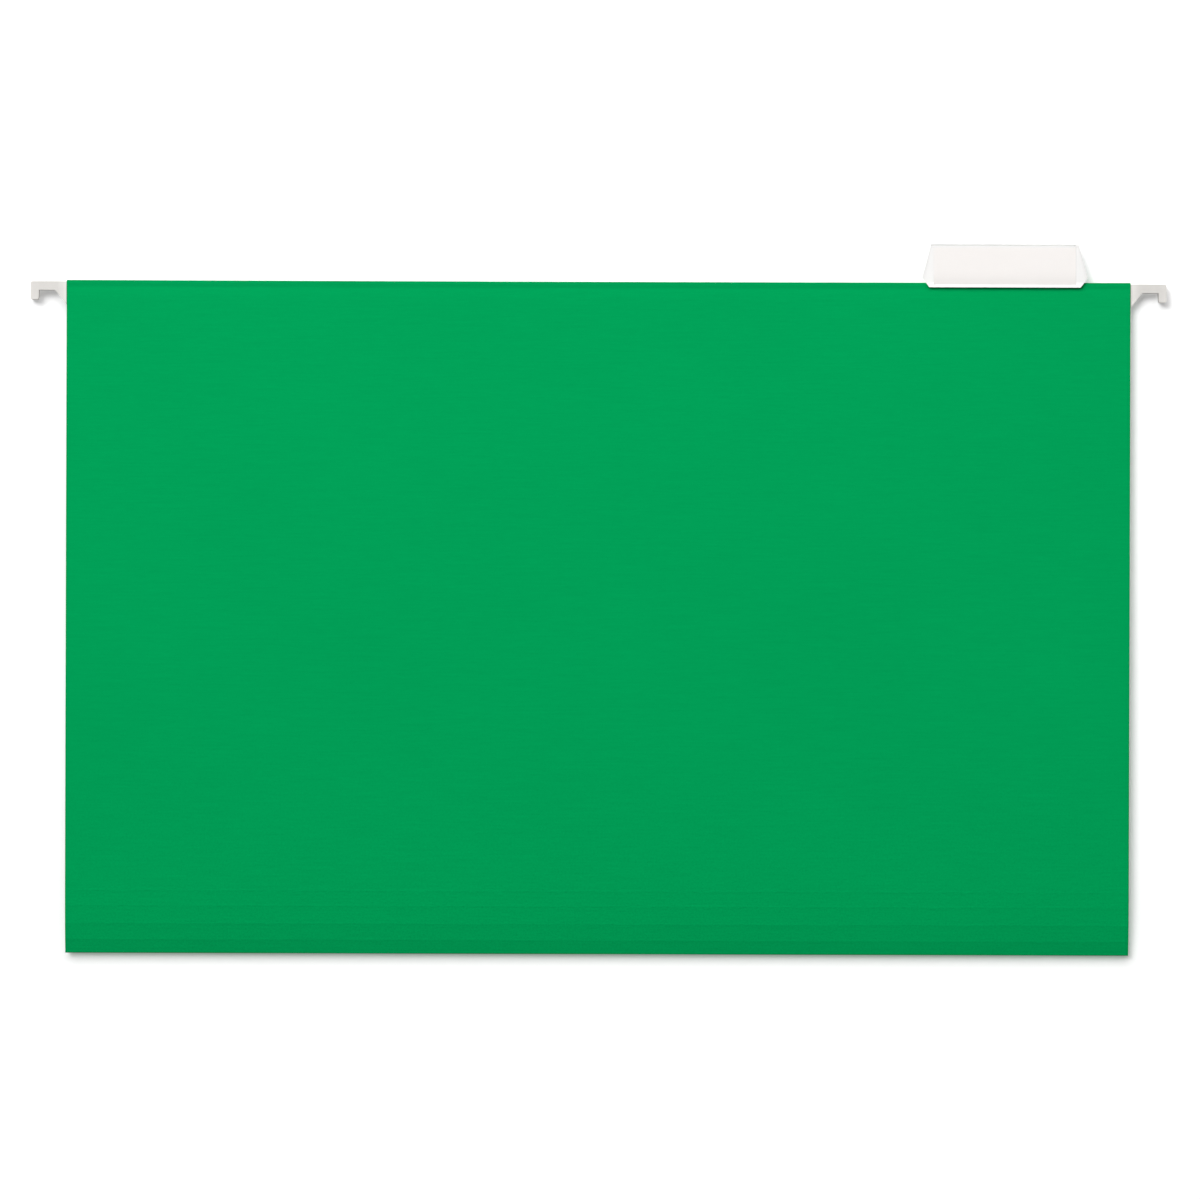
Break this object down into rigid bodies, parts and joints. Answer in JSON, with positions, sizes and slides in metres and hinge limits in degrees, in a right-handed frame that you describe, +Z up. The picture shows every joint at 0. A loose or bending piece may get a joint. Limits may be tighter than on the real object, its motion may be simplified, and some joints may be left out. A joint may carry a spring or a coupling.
{
  "type": "hanging file folder",
  "caption": "Hanging file folder: a scored, creased paper sheet hung from two hooked hanger strips, with a plug-in plastic index tab and its paper insert.",
  "frame": {"origin": "in the plane of the four hook seats, midway between them: the top of the two rails", "axes": "+X to the right along the width seen from the front, +Y to the rear, +Z up"},
  "size_m": [0.4, 0.0064, 0.2506],
  "materials": {
    "sheet": "matte dyed paper",
    "coat": "satin coat",
    "steel": "bare strip",
    "tab_plastic": "milky",
    "insert_paper": "matte",
    "glue": "dry adhesive"
  },
  "bodies": {
    "rear_leaf": {"rear_leaf": "sheet", "rear_hem": "sheet", "rear_hem_glue": "glue", "rear_hanger_bar": "steel", "rear_left_tip": "coat", "rear_right_tip": "coat"},
    "rear_bottom": {"rear_bottom_strip": "sheet"},
    "front_bottom": {"front_bottom_strip": "sheet"},
    "front_leaf": {"front_leaf": "sheet", "front_hem": "sheet", "front_hem_glue": "glue", "front_hanger_bar": "steel", "front_left_tip": "coat", "front_right_tip": "coat"},
    "tab": {"tab_holder": "tab_plastic"},
    "insert": {"tab_label": "insert_paper"}
  },
  "joints": [
    {"name": "rear_score_fold", "type": "hinge", "parent": "rear_leaf", "child": "rear_bottom", "pos_m": [0, 0.0022, -0.21134], "axis": [-1, 0, 0], "range_deg": [0, 84.5]},
    {"name": "crease_opening", "type": "hinge", "parent": "rear_bottom", "child": "front_bottom", "pos_m": [0, 0, -0.23354], "axis": [1, 0, 0], "range_deg": [0, 169]},
    {"name": "front_score_fold", "type": "hinge", "parent": "front_bottom", "child": "front_leaf", "pos_m": [0, -0.0022, -0.21134], "axis": [-1, 0, 0], "range_deg": [0, 84.5]},
    {"name": "tab_lift", "type": "slide", "parent": "front_leaf", "child": "tab", "axis": [0, 0, 1], "range_m": [0, 0.009]},
    {"name": "insert_slide", "type": "slide", "parent": "tab", "child": "insert", "axis": [1, 0, 0], "range_m": [0, 0.055]}
  ],
  "couplings": [
    {"joint": "rear_score_fold", "follows": "crease_opening", "ratio": 0.5},
    {"joint": "front_score_fold", "follows": "crease_opening", "ratio": 0.5}
  ]
}
